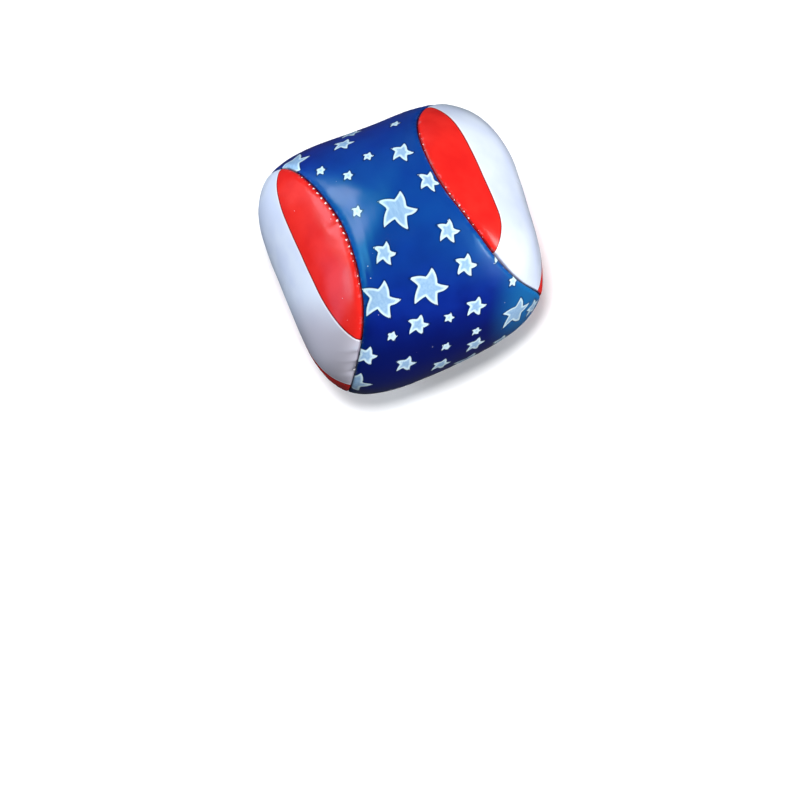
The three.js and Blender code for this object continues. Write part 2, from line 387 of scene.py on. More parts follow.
# Cloth held along some of its points, pushed out from inside
def clothTrial(points, faces, held):
    mesh = bpy.data.meshes.new("trial")
    mesh.from_pydata(points.tolist(), [], faces.tolist())
    trial = addPiece("trial", mesh)
    trial.vertex_groups.new(name="seam").add(held.tolist(), 1, "REPLACE")
    cloth = trial.modifiers.new("plump", "CLOTH")
    cloth.settings.quality = plump["quality"]
    cloth.settings.vertex_group_mass = "seam"
    cloth.settings.tension_stiffness = plump["stiffness"]
    cloth.settings.compression_stiffness = plump["stiffness"]
    cloth.settings.bending_stiffness = plump["bending"]
    cloth.settings.use_pressure = True
    cloth.settings.uniform_pressure_force = plump["pressure"]
    cloth.settings.shrink_min = -plump["ease"]
    cloth.settings.effector_weights.gravity = 0
    cloth.point_cache.frame_start = 1
    cloth.point_cache.frame_end = plump["frames"]
    for step in range(1, plump["frames"] + 1):
        bpy.context.scene.frame_set(step)
    bpy.ops.object.modifier_apply(modifier=cloth.name)
    moved = np.empty(len(points) * 3)
    trial.data.vertices.foreach_get("co", moved)
    bpy.data.objects.remove(trial)
    bpy.data.meshes.remove(mesh)
    bpy.context.scene.frame_set(1)
    return moved.reshape(-1, 3)


# The panel's stars: size, then millimetres across the panel and along it from the middle of its waist
starPrint = {
    "radius": {"large": 4.1, "medium": 2.45, "small": 1.28},
    # an arm's tip and the notch after it: degrees, share of the radius
    "tips": ((60, 0.98), (130, 1.05), (208, 1.01), (275, 1.02), (340, 0.95)),
    "notches": ((82, 0.55), (145, 0.5), (228, 0.42), (306, 0.48), (365, 0.44)),
    "leadingBulge": 0.07,
    "trailingBulge": -0.02,
    "armSteps": 6,  # points along each edge of an arm
    "farOutside": -3.0,
    "fieldRadii": 1.8,  # how far round a star its edge is worked out
    "large": (
        (0.5, -3), (0, -19), (-9, -17.5), (14, -37.5), (-12.5, 22), (2, -46.5), (-18, -36), (-11, -51),
        (1.5, -60.5), (3, 35.5), (-12.5, 43), (15.5, 44.5), (3, 53.5), (-8.5, 58.5),
    ),
    "medium": (
        (-5, -9.5), (7.5, -10.5), (8, -18), (7, -27.5), (-4.5, -25.5), (6, 8.5), (8.5, 0.5), (-3, 19),
        (-9, -34), (-14.5, -28), (4.5, -38.5), (-3, -40), (-0.5, 24.5), (15, -19.5),
        (9.5, -46), (17.5, -43.5), (7, -55), (-4, -55.5), (-9, -60), (10.5, -61), (6.5, 27.5),
        (13, 30.5), (-6, 35), (8, 43.5), (-6, 50.5), (11.5, 52), (-16, 51), (7, 61), (0, 67),
    ),
    "small": (
        (7.5, 18.5), (0, 11), (-5, 8.5), (-9, 13.5), (-6.5, 0.5), (-9.5, -25.5), (1.5, -27), (5.5, -34),
        (-1, -34), (15, -27), (-18.5, -44.5), (14, -52), (-4, -59), (-3, 29.5), (13, 37),
        (-15, 35.5), (-3.5, 43.5), (0.5, 47), (-1, 61), (13.5, 59),
    ),
}


# A point of an outline by its direction and its distance from the middle
def polar(degrees, length):
    return np.array([math.cos(math.radians(degrees)), math.sin(math.radians(degrees))]) * length


# Outline of a star of radius 1, with arms that lean to one side
def starOutline():
    corners = []
    for tip, notch in zip(starPrint["tips"], starPrint["notches"]):
        corners.append((polar(*tip), starPrint["trailingBulge"]))
        corners.append((polar(*notch), starPrint["leadingBulge"]))
    outline = []
    for place, (start, bulge) in enumerate(corners):
        end = corners[(place + 1) % len(corners)][0]
        out = np.array([end[1] - start[1], start[0] - end[0]])
        out = out / np.linalg.norm(out)
        for part in np.arange(starPrint["armSteps"]) / starPrint["armSteps"]:
            outline.append(start + (end - start) * part + out * bulge * 4 * part * (1 - part))
    return np.array(outline)


# Distance inside an outline, less than nothing outside it
def insideBy(points, outline):
    ends = np.roll(outline, -1, axis=0)
    nearest = np.full(len(points), np.inf)
    inside = np.zeros(len(points), bool)
    for start, end in zip(outline, ends):
        side = end - start
        part = np.clip(((points - start) @ side) / (side @ side), 0, 1)
        nearest = np.minimum(nearest, np.linalg.norm(points - start - part[:, None] * side, axis=1))
        crosses = (points[:, 1] < start[1]) != (points[:, 1] < end[1])
        reached = start[0] + (points[:, 1] - start[1]) / (side[1] or 1e-9) * side[0]
        inside ^= crosses & (points[:, 0] < reached)
    return np.where(inside, nearest, -nearest)


# For each point of the star panel, how far it lies inside the nearest star
def starEdges(points):
    outline = starOutline()
    edges = np.full(len(points), starPrint["farOutside"])
    radius = bag["halfHeight"]
    for size in ("large", "medium", "small"):
        starRadius = starPrint["radius"][size]
        for across, along in starPrint[size]:
            side, bend = across / radius, along / radius
            level = math.cos(side)
            out = np.array([math.sin(side), level * math.sin(bend), level * math.cos(bend)])
            centre = out * reach(out)
            alongAxis = np.array([0, math.cos(bend), -math.sin(bend)])
            acrossAxis = np.cross(alongAxis, out)
            offset = points - centre
            distance = np.linalg.norm(offset, axis=1)
            near = np.flatnonzero(distance < starPrint["fieldRadii"] * starRadius)
            flat = np.stack([offset[near] @ acrossAxis, offset[near] @ alongAxis], axis=1)
            flat *= (distance[near] / np.maximum(np.linalg.norm(flat, axis=1), 1e-6))[:, None]
            edge = insideBy(flat / starRadius, outline) * starRadius
            edges[near] = np.maximum(edges[near], edge)
    return edges


# The stripes' edges, in degrees up from the level of the bag's middle
stripePrint = {
    "tipLeft": 39.8,
    "tipRight": 42.6,
    "upperLeft": -0.5,
    "upperRight": -6,
    "upperSlant": -0.3,  # degrees for each millimetre along Y
    "lower": -43,
    "hook": 0.13,  # the right tip's edge bends in near its front end
    "hookFrom": -8,
}


# For each point of the stripe panel, how far it lies inside a red stripe
def stripeEdges(points):
    radius = bag["halfHeight"]
    along = radius * np.arctan2(points[:, 2], np.abs(points[:, 0]))
    left = points[:, 0] < 0
    bent = np.maximum(stripePrint["hookFrom"] - points[:, 1], 0)
    tipRight = stripePrint["tipRight"] + stripePrint["hook"] * bent**2
    tip = np.where(left, stripePrint["tipLeft"], tipRight)
    upper = np.where(left, stripePrint["upperLeft"], stripePrint["upperRight"])
    upper = upper + stripePrint["upperSlant"] * points[:, 1]
    lower = radius * math.radians(stripePrint["lower"])
    inTip = along - radius * np.radians(tip)
    inBand = np.minimum(radius * np.radians(upper) - along, along - lower)
    return np.maximum(inTip, inBand)


# A panel as one closed sheet of vinyl
def makePanel(panel, edgesOf):
    section, edgeInset, outsideRows = panelSection(panel)
    columns, rows = panelMake["columns"], len(section)
    turns = 2 * np.pi * np.arange(columns) / columns
    direction, fromEdge = panelDirections(panel, turns, section[:, 0], section[:, 1])
    relief = panelRelief(panel, turns, direction, fromEdge, edgeInset)
    plain = direction * reach(direction)[..., None]
    points = direction * (reach(direction) + relief - section[:, 2])[..., None]
    moves = plumpMoves(panel, turns, section[:, 0], edgeInset)
    points = points + moves
    furthest = float(np.linalg.norm(moves, axis=-1).max())
    print(panel["piece"], "plumped by up to", round(furthest, 2), "mm")
    points[..., 2] = np.maximum(points[..., 2], -bag["restDepth"])
    partner = (columns // 2 - np.arange(columns)) % columns
    for row in (0, rows - 1):
        points[:, row] = (points[:, row] + points[partner, row]) / 2
    here = np.arange(columns)[:, None] * rows + np.arange(rows - 1)
    beside = np.roll(here, -1, axis=0)
    faces = np.stack([here, here + 1, beside + 1, beside], axis=-1).reshape(-1, 4)
    mesh = bpy.data.meshes.new(panel["piece"])
    mesh.from_pydata(((points.reshape(-1, 3) + middle) * metre).tolist(), [], faces.tolist())
    addAttribute(mesh, "printEdge", edgesOf(plain.reshape(-1, 3)))
    addAttribute(mesh, "fromSeam", fromEdge)
    addAttribute(mesh, "backing", np.tile(np.arange(rows) >= outsideRows, (columns, 1)))
    piece = addPiece(panel["piece"], mesh)
    bpy.ops.object.mode_set(mode="EDIT")
    bpy.ops.mesh.select_all(action="SELECT")
    bpy.ops.mesh.remove_doubles(threshold=1e-7)
    bpy.ops.mesh.normals_make_consistent(inside=False)
    bpy.ops.object.mode_set(mode="OBJECT")
    bpy.ops.object.shade_smooth()
    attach(piece, "cover")
    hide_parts(panel["node"])
    print(panel["piece"], len(piece.data.polygons), "faces")
    return piece


# The threads: stitches that bridge the seam, and run inside the folded edges between
seamThread = {
    "piece": "seam_stitches",
    "node": "seam_thread",
    "pitch": 1.5,
    "strandDiameter": 0.24,
    "strandApart": 0.09,
    "twist": 1.1,  # length of one turn of the strands
    "reach": 0.28,  # to each side: the dots show on the striped panel
    "dotRun": 0.21,
    "topDepth": 0.01,
    "hiddenDepth": 0.55,  # most of the seam is shut, and hides its stitches
    # stretches that are pulled open: degrees round the seam, over how many degrees, and how far
    "open": ((177, 20, 1), (352, 9, 0.8), (14, 9, 0.65)),
    "sideDepth": 1.3,
    "slack": 0.06,
    "snap": 4,  # how quickly a stitch crosses the seam
    "steps": 24,
    "seed": 5,
    "white": (255, 255, 253),
    "shade": (240, 240, 239),
}


# Lines of a thread's two strands, sewn along a stretch of the seam
def stitchStrands(thread, start, length):
    stitches = round(length / thread["pitch"])
    part = np.linspace(0, 1, stitches * thread["steps"] + 1)
    along = start + part * length
    turn = turnAt(along)
    out = seamDirection(turn)
    seam = out * reach(out)[:, None]
    ahead = seamDirection(turnAt(along + 0.2))  # a small step along the seam
    ahead = ahead * reach(ahead)[:, None] - seam
    aside = unit(np.cross(ahead, out))
    phase = np.mod(stitches * part, 1) - 0.5
    swing = np.tanh(thread["snap"] * np.cos(2 * np.pi * phase))
    shown = np.exp(-((phase * length / stitches / thread["dotRun"]) ** 2))
    depth = seamSink(turn) + thread["sideDepth"] + (thread["topDepth"] - thread["sideDepth"]) * shown
    depth = depth + thread["slack"] * ripple(along, thread["pitch"], thread["seed"])
    shut = 1
    for centre, run, share in thread["open"]:
        shut = shut - share * np.exp(-((degreesFrom(turn, centre) / run) ** 4))
    depth = depth + thread["hiddenDepth"] * np.maximum(shut, 0)
    core = seam - out * depth[:, None] + aside * (thread["reach"] * swing)[:, None]
    tangent = unit(np.gradient(core, axis=0))
    firstSide = unit(np.cross(tangent, out))
    secondSide = np.cross(firstSide, tangent)
    turned = 2 * np.pi * along / thread["twist"]
    strands = []
    for half in (0, np.pi):
        wound = turned + half
        offset = firstSide * np.cos(wound)[:, None] + secondSide * np.sin(wound)[:, None]
        strands.append(core + offset * thread["strandApart"])
    return strands


# Strands become tubes along their lines
def makeStrands(thread, strands, closed=False):
    curve = bpy.data.curves.new(thread["piece"], "CURVE")
    curve.dimensions = "3D"
    curve.bevel_depth = thread["strandDiameter"] / 2 * metre
    curve.bevel_resolution = 1
    curve.use_fill_caps = True
    for strand in strands:
        spline = curve.splines.new("POLY")
        spline.points.add(len(strand) - 1)
        spline.use_cyclic_u = closed
        places = np.column_stack([(strand + middle) * metre, np.ones(len(strand))])
        spline.points.foreach_set("co", places.astype(np.float32).ravel())
    addPiece(thread["piece"], curve)
    bpy.ops.object.convert(target="MESH")
    piece = bpy.context.view_layer.objects.active
    bpy.ops.object.shade_smooth()
    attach(piece, "cover")
    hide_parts(thread["node"])
    print(thread["piece"], len(piece.data.polygons), "faces")
    return piece


# The gap that the bag is filled through, and the thread that closes it
opening = {"turn": 90, "length": 18, "endGap": 0.8, "knotRoom": 2.5}
closingThread = dict(
    seamThread,
    piece="closing_stitches",
    node="closing_thread",
    pitch=2.2,
    strandDiameter=0.34,
    strandApart=0.14,
    seed=9,
)

starCover = makePanel(starPanel, starEdges)
stripeCover = makePanel(stripePanel, stripeEdges)
openingMiddle = float(lengthAt(math.radians(opening["turn"])))
seamStitches = makeStrands(
    seamThread,
    stitchStrands(seamThread, openingMiddle + opening["length"] / 2, seamLength - opening["length"]),
)
closingStart = openingMiddle - opening["length"] / 2 + opening["endGap"]
closingLength = opening["length"] - 2 * opening["endGap"] - opening["knotRoom"]
closingStitches = makeStrands(closingThread, stitchStrands(closingThread, closingStart, closingLength))


# The pellets: short rods of plastic, cut from a strand
pellet = {
    "diameter": 3.8,
    "length": 3,
    "rounding": 0.45,
    "dimple": 0.12,
    "looseSides": 16,
    "heapSides": 8,
    "smoothAngle": 40,
    "heapSpacing": 4.5,
    "heapCrowding": (1, 1.16, 1.23),  # rows and layers nest, so more of them fit
    "heapStart": 0.45,  # height of the first layer, as a share of the spacing
    "heapMargin": 2.1,  # from the middle of a pellet to the outside of the heap
    "seed": 31,
    "plastic": (222, 225, 228),
    "cloud": (196, 202, 206),
}


# One pellet at the origin, standing on its end
def modelPellet(sides, dimpled):
    bpy.ops.object.select_all(action="DESELECT")
    bpy.ops.mesh.primitive_cylinder_add(
        vertices=sides, radius=pellet["diameter"] / 2 * metre, depth=pellet["length"] * metre
    )
    model = bpy.context.active_object
    bpy.ops.object.mode_set(mode="EDIT")
    selectEnds(model)
    bpy.ops.mesh.region_to_loop()
    bpy.ops.mesh.bevel(offset=pellet["rounding"] * metre, segments=2 if dimpled else 1)
    if dimpled:
        selectEnds(model)
        bpy.ops.mesh.inset(thickness=pellet["rounding"] * metre)
        bpy.ops.transform.resize(value=(1, 1, 1 - 2 * pellet["dimple"] / pellet["length"]))
    bpy.ops.object.mode_set(mode="OBJECT")
    return model


# The flat faces on top of a standing pellet and under it
def selectEnds(model):
    bpy.ops.mesh.select_mode(type="FACE")
    bpy.ops.mesh.select_all(action="DESELECT")
    bpy.ops.object.mode_set(mode="OBJECT")
    for face in model.data.polygons:
        face.select = abs(face.normal.z) > 0.99
    bpy.ops.object.mode_set(mode="EDIT")


def meshPoints(mesh):
    places = np.empty(len(mesh.vertices) * 3)
    mesh.vertices.foreach_get("co", places)
    return places.reshape(-1, 3)


# The flat ends of a pellet are its largest faces, so they give its direction
def pelletAxis(mesh):
    normals = np.array([face.normal[:] for face in mesh.polygons])
    areas = np.array([face.area for face in mesh.polygons])
    alike = np.abs(normals @ normals.T) > 0.99
    return Vector(normals[(alike * areas).sum(axis=1).argmax()])


def finishPellets(piece, *nodes):
    bpy.ops.object.shade_smooth_by_angle(angle=math.radians(pellet["smoothAngle"]))
    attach(piece, "fill")
    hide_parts(*nodes)
    return piece


# Each loose pellet lies where its solid does
def makeLoosePellets():
    model = modelPellet(pellet["looseSides"], True)
    pieces = []
    for name in sorted(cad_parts):
        if name.startswith("pellet_") and name != "pellet_bed":
            low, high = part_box(name)
            turn = Vector((0, 0, 1)).rotation_difference(pelletAxis(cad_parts[name].data))
            place = Matrix.Translation((Vector(low) + Vector(high)) / 2)
            mesh = model.data.copy()
            mesh.transform(place @ turn.to_matrix().to_4x4())
            pieces.append(finishPellets(addPiece("loose_" + name, mesh), name))
    bpy.data.objects.remove(model)
    print("loose pellets:", len(pieces))
    return pieces


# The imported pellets, in staggered layers inside the space that their solid holds
def makeHeap():
    model = modelPellet(pellet["heapSides"], False)
    shape = meshPoints(model.data)
    faces = [list(face.vertices) for face in model.data.polygons]
    bpy.data.objects.remove(model)
    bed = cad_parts["pellet_bed"].data
    space = BVHTree.FromPolygons([v.co for v in bed.vertices], [list(f.vertices) for f in bed.polygons])
    chance = np.random.default_rng(pellet["seed"])
    spacing = pellet["heapSpacing"] * metre
    low, high = (np.array(corner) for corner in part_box("pellet_bed"))
    counts = np.ceil((high - low) / spacing * pellet["heapCrowding"]).astype(int)
    rowStep, layerStep = math.sqrt(3) / 2, math.sqrt(2 / 3)
    points, polygons = [], []
    for layer, row, column in np.ndindex(counts[2], counts[1], counts[0]):
        stagger = 0.5 * ((layer + row) % 2)
        rowShift = (layer % 2) / 3
        place = low + spacing * np.array([
            column + stagger, (row + rowShift) * rowStep, pellet["heapStart"] + layer * layerStep,
        ])
        nearest, normal, _, distance = space.find_nearest(Vector(place))
        turn = Quaternion(unit(chance.normal(size=4))).to_matrix()
        if (nearest - Vector(place)).dot(normal) > 0 and distance > pellet["heapMargin"] * metre:
            start = len(points)
            points.extend(shape @ np.array(turn).T + place)
            polygons.extend([corner + start for corner in face] for face in faces)
    mesh = bpy.data.meshes.new("pellet_heap")
    mesh.from_pydata([point.tolist() for point in points], [], polygons)
    print("pellet_heap:", len(points) // len(shape), "pellets")
    return finishPellets(addPiece("pellet_heap", mesh), "pellet_bed")


# The knot that ends the closing thread, pulled tight on the outside of the seam
closingKnot = {
    "piece": "closing_knot_wound",
    "node": "closing_knot",
    "radius": 0.62,
    "strandDiameter": 0.15,
    "strandApart": 0.06,
    "twist": 0.7,
    "steps": 240,
}


# Two strands that go twice round while they weave over and under three times
def makeKnot(along):
    out = seamDirection(np.array([turnAt(along)]))[0]
    turn = np.array(Vector((0, 0, 1)).rotation_difference(Vector(out)).to_matrix())
    part = np.linspace(0, 2 * np.pi, closingKnot["steps"], endpoint=False)
    around, over = 2 * part, 3 * part
    wide = closingKnot["radius"] * (2 + np.cos(over)) / 2
    lift = closingKnot["radius"] * np.sin(over) / 2
    core = np.stack([wide * np.cos(around), wide * np.sin(around), lift], axis=1)
    length = np.linalg.norm(np.roll(core, -1, axis=0) - core, axis=1).sum()
    turns = round(length / closingKnot["twist"])
    tangent = unit(np.roll(core, -1, axis=0) - np.roll(core, 1, axis=0))
    side = unit(np.cross(tangent, (0.3, 0.2, 1)))  # a direction that the thread never takes
    other = np.cross(side, tangent)
    low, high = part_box(closingKnot["node"])
    centre = np.array((Vector(low) + Vector(high)) / 2) / metre - middle
    strands = []
    for half in (0, np.pi):
        wound = turns * part + half
        offset = side * np.cos(wound)[:, None] + other * np.sin(wound)[:, None]
        strands.append((core + offset * closingKnot["strandApart"]) @ turn.T + centre)
    return makeStrands(closingKnot, strands, closed=True)


loosePellets = makeLoosePellets()
pelletHeap = makeHeap()
knot = makeKnot(closingStart + closingLength + opening["knotRoom"] / 2)


# Materials are built from small node helpers
class Shades:
    def __init__(self, name):
        self.material = bpy.data.materials.new(name)
        self.material.use_nodes = True
        self.tree = self.material.node_tree
        self.shader = self.tree.nodes["Principled BSDF"]
        self.place = self.add("ShaderNodeTexCoord").outputs["Object"]

    def add(self, kind, **settings):
        node = self.tree.nodes.new(kind)
        for name, value in settings.items():
            setattr(node, name, value)
        return node

    def feed(self, socket, value):
        if isinstance(value, bpy.types.NodeSocket):
            self.tree.links.new(value, socket)
        else:
            socket.default_value = value

    def attribute(self, name):
        return self.add("ShaderNodeAttribute", attribute_name=name).outputs["Fac"]

    def noise(self, size, detail=3, place=None):
        node = self.add("ShaderNodeTexNoise")
        self.feed(node.inputs["Vector"], place or self.place)
        node.inputs["Scale"].default_value = 1 / (size * metre)
        node.inputs["Detail"].default_value = detail
        return node.outputs["Fac"]

    # noise as patches that stand out from each other
    def patches(self, size, detail=3, toLow=0.0, toHigh=1.0):
        return self.ramp(self.noise(size, detail), 0.3, 0.7, toLow, toHigh)

    def ramp(self, value, low, high, toLow=0.0, toHigh=1.0):
        node = self.add("ShaderNodeMapRange", interpolation_type="SMOOTHSTEP")
        given = {"Value": value, "From Min": low, "From Max": high, "To Min": toLow, "To Max": toHigh}
        for name, setting in given.items():
            self.feed(node.inputs[name], setting)
        return node.outputs["Result"]

    # from 0 to 1 between two distances along a direction
    def towards(self, direction, start, end):
        node = self.add("ShaderNodeVectorMath", operation="DOT_PRODUCT")
        self.feed(node.inputs[0], self.place)
        node.inputs[1].default_value = direction
        return self.ramp(node.outputs["Value"], start * metre, end * metre)

    def math(self, operation, first, second=0.0):
        node = self.add("ShaderNodeMath", operation=operation)
        self.feed(node.inputs[0], first)
        self.feed(node.inputs[1], second)
        return node.outputs[0]

    def mix(self, share, first, second, blend="MIX"):
        node = self.add("ShaderNodeMix", data_type="RGBA", blend_type=blend)
        self.feed(node.inputs[0], share)
        self.feed(node.inputs[6], first)
        self.feed(node.inputs[7], second)
        return node.outputs[2]

    def bump(self, height, strength, distance, before=None):
        node = self.add("ShaderNodeBump")
        self.feed(node.inputs["Height"], height)
        node.inputs["Strength"].default_value = strength
        node.inputs["Distance"].default_value = distance * metre
        if before:
            self.feed(node.inputs["Normal"], before)
        return node.outputs["Normal"]

    def set(self, **sockets):
        for name, value in sockets.items():
            self.feed(self.shader.inputs[name.replace("_", " ")], value)


# Colours as they are seen on a screen, made linear
def colour(red, green, blue):
    def linear(value):
        value = value / 255
        return value / 12.92 if value <= 0.04045 else ((value + 0.055) / 1.055) ** 2.4

    return (linear(red), linear(green), linear(blue), 1)


vinyl = {
    # painted sheen: teal mixed into the navy towards the top, in place of gloss
    "tealPaintedSheen": colour(10, 63, 148),
    "navy": colour(8, 35, 144),
    "navyDeep": colour(4, 14, 120),
    # painted shade: the navy darker towards the ground
    "navyPaintedShade": colour(2, 6, 92),
    # painted reflection: pale teal at the front right corner, where the floor would be mirrored
    "tealPaintedReflection": colour(20, 104, 172),
    "starEdge": colour(3, 10, 74),
    "starFill": colour(157, 192, 225),
    "starFillCool": colour(141, 178, 218),
    # painted light: the stars paler towards the ground
    "starPaintedLight": colour(200, 225, 248),
    "starRim": colour(206, 232, 244),
    "red": colour(232, 42, 35),
    "redDeep": colour(221, 32, 29),
    "redEdge": colour(120, 10, 18),
    "white": colour(218, 228, 246),
    "whiteCool": colour(207, 218, 242),
    # painted shade: a greyer white at the front left corner
    "whitePaintedShade": colour(190, 189, 204),
    "whiteRim": colour(238, 236, 246),
    "speck": colour(214, 226, 240),
    # painted shade: the print darkened along the seam's folded edge
    "seamPaintedShade": colour(130, 110, 130),
    "backing": colour(214, 208, 196),
    "backingShade": colour(190, 184, 170),
    # where painted sheen, shade, light and reflection come in: a direction, then where along it the
    # change starts and ends
    "paintedSheenAbove": ((0.3, 0.1, 1), 35, 50),
    "paintedShadeBelow": ((0.3, 0.1, 1), 40, 26),
    "paintedLightBelow": ((0.3, 0.1, 1), 17, 5),
    "paintedReflectionCorner": ((0.7, -0.7, 0), 21.5, 27),
    "paintedShadeCorner": ((-0.7, -0.7, 0), 18, 25),
    "speckSpacing": 2.3,
    "speckless": 0.4,  # the higher this is, the fewer specks there are
    "speckEdge": (0.05, 0.025),  # shares of the spacing
    "speckStrength": 0.7,
    # runs from the seam
    # worn paler and painted highlights in patches along the seam's edges
    "wearAndHighlightRun": (0.9, 0.3),
    "wearAndHighlightStrength": 0.12,
    "seamPaintedShadeRun": (0.45, 0.15),
    "seamPaintedShadeStrength": 0.65,
    "coatRun": (0.8, 1.8),  # the folded edge has no clear coat
    # runs from the edge of a star or a red stripe, less than nothing outside it
    "printRun": (-0.06, 0.06),
    "starEdgeRun": (-0.4, -0.1),
    "starEdgeStrength": 0.7,
    "starRimRun": (0.6, 0.22),
    "redEdgeRun": (0.42, 0.16),
    "whiteRimRun": (-0.5, -0.2),
    "strokeTurn": 35,  # degrees
    "strokeStretch": 0.22,
    "starRoughness": (0.42, 0.5),
    "stripeRoughness": (0.2, 0.27),
}


# What both vinyls share: specks, wear and painted highlights, painted shade along the seam, cloth
# backing, fine grain and uneven gloss
def finishVinyl(shades, printed, roughness):
    cells = shades.add("ShaderNodeTexVoronoi", feature="F1")
    shades.feed(cells.inputs["Vector"], shades.place)
    cells.inputs["Scale"].default_value = 1 / (vinyl["speckSpacing"] * metre)
    chosen = shades.math("GREATER_THAN", cells.outputs["Color"], vinyl["speckless"])
    speck = shades.math("MULTIPLY", chosen, shades.ramp(cells.outputs["Distance"], *vinyl["speckEdge"]))
    speck = shades.math("MULTIPLY", speck, vinyl["speckStrength"])
    printed = shades.mix(speck, printed, vinyl["speck"])
    fromSeam = shades.attribute("fromSeam")
    # worn paler and painted highlights: the specks' colour in patches along the seam's edges
    wearAndHighlight = shades.ramp(fromSeam, *vinyl["wearAndHighlightRun"])
    wearAndHighlight = shades.math("MULTIPLY", wearAndHighlight, shades.ramp(shades.noise(0.8, 4), 0.52, 0.7))
    wearAndHighlight = shades.math("MULTIPLY", wearAndHighlight, vinyl["wearAndHighlightStrength"])
    printed = shades.mix(wearAndHighlight, printed, vinyl["speck"])
    # painted shade: the print darkened along the seam's folded edge
    seamPaintedShade = shades.ramp(fromSeam, *vinyl["seamPaintedShadeRun"], 0, vinyl["seamPaintedShadeStrength"])
    printed = shades.mix(seamPaintedShade, printed, vinyl["seamPaintedShade"], "MULTIPLY")
    backing = shades.mix(shades.patches(0.35, 2), vinyl["backing"], vinyl["backingShade"])
    printed = shades.mix(shades.attribute("backing"), printed, backing)
    gloss = shades.patches(6, 4, *roughness)
    grain = shades.bump(shades.noise(0.32, 4), 0.1, 0.05)
    grain = shades.bump(shades.noise(2.6, 3), 0.14, 0.12, grain)
    shades.set(Base_Color=printed, Roughness=gloss, Normal=grain)


def starVinyl():
    shades = Shades("star_vinyl")
    edge = shades.attribute("printEdge")
    ground = shades.mix(shades.patches(7), vinyl["navy"], vinyl["navyDeep"])
    # painted sheen: teal towards the top of the bag, in clouds
    cloud = shades.ramp(shades.noise(16, 3), 0.25, 0.65, 0.35, 1)
    paintedSheen = shades.math("MULTIPLY", shades.towards(*vinyl["paintedSheenAbove"]), cloud)
    ground = shades.mix(paintedSheen, ground, vinyl["tealPaintedSheen"])
    # painted shade: darker navy towards the ground
    ground = shades.mix(shades.towards(*vinyl["paintedShadeBelow"]), ground, vinyl["navyPaintedShade"])
    # painted reflection: pale teal towards the front right corner
    ground = shades.mix(shades.towards(*vinyl["paintedReflectionCorner"]), ground, vinyl["tealPaintedReflection"])
    drawn = shades.ramp(edge, *vinyl["starEdgeRun"], 0, vinyl["starEdgeStrength"])
    ground = shades.mix(drawn, ground, vinyl["starEdge"])
    stroke = shades.add("ShaderNodeMapping")
    shades.feed(stroke.inputs["Vector"], shades.place)
    stroke.inputs["Rotation"].default_value = (0, 0, math.radians(vinyl["strokeTurn"]))
    stroke.inputs["Scale"].default_value = (1, vinyl["strokeStretch"], 1)
    strokes = shades.ramp(shades.noise(0.45, 3, stroke.outputs[0]), 0.35, 0.65)
    fill = shades.mix(strokes, vinyl["starFill"], vinyl["starFillCool"])
    # painted light: the stars paler towards the ground
    fill = shades.mix(shades.towards(*vinyl["paintedLightBelow"]), fill, vinyl["starPaintedLight"])
    fill = shades.mix(shades.ramp(edge, *vinyl["starRimRun"]), fill, vinyl["starRim"])
    printed = shades.mix(shades.ramp(edge, *vinyl["printRun"]), ground, fill)
    finishVinyl(shades, printed, vinyl["starRoughness"])
    shades.set(
        Specular_IOR_Level=1,
        Specular_Tint=(0.01, 0.7, 0.55, 1),
        Coat_Weight=shades.ramp(shades.attribute("fromSeam"), *vinyl["coatRun"]),
        Coat_Roughness=0.25,
    )
    return shades.material


def stripeVinyl():
    shades = Shades("stripe_vinyl")
    edge = shades.attribute("printEdge")
    red = shades.mix(shades.patches(5), vinyl["red"], vinyl["redDeep"])
    red = shades.mix(shades.ramp(edge, *vinyl["redEdgeRun"]), red, vinyl["redEdge"])
    white = shades.mix(shades.ramp(shades.noise(9, 3), 0.35, 0.65), vinyl["white"], vinyl["whiteCool"])
    # painted shade: greyer white towards the front left corner
    white = shades.mix(shades.towards(*vinyl["paintedShadeCorner"]), white, vinyl["whitePaintedShade"])
    white = shades.mix(shades.ramp(edge, *vinyl["whiteRimRun"]), white, vinyl["whiteRim"])
    printed = shades.mix(shades.ramp(edge, *vinyl["printRun"]), white, red)
    finishVinyl(shades, printed, vinyl["stripeRoughness"])
    shades.set(Specular_IOR_Level=0.42)
    return shades.material


def threadWhite():
    shades = Shades("thread")
    fibre = shades.patches(0.12)
    shades.set(
        Base_Color=shades.mix(fibre, colour(*seamThread["white"]), colour(*seamThread["shade"])),
        Roughness=0.7,
        Sheen_Weight=0.3,
        Normal=shades.bump(shades.noise(0.09, 2), 0.5, 0.03),
    )
    return shades.material


def pelletPlastic():
    shades = Shades("pellets")
    cloud = shades.patches(3)
    shades.set(
        Base_Color=shades.mix(cloud, colour(*pellet["plastic"]), colour(*pellet["cloud"])),
        Roughness=shades.patches(1.2, 3, 0.38, 0.55),
        Normal=shades.bump(shades.noise(0.5, 3), 0.3, 0.04),
    )
    return shades.material


def dress(piece, material):
    piece.data.materials.clear()
    piece.data.materials.append(material)


dress(starCover, starVinyl())
dress(stripeCover, stripeVinyl())
threadMaterial = threadWhite()
for piece in (seamStitches, closingStitches, knot):
    dress(piece, threadMaterial)
pelletMaterial = pelletPlastic()
for piece in (*loosePellets, pelletHeap):
    dress(piece, pelletMaterial)
print("materials done")

# The floor, the light and the camera
studio = {
    "floorSize": 3,
    "floor": colour(250, 250, 251),
    "floorShade": colour(247, 247, 249),
    "floorGlow": 0.08,
    "surround": 0.04,
}

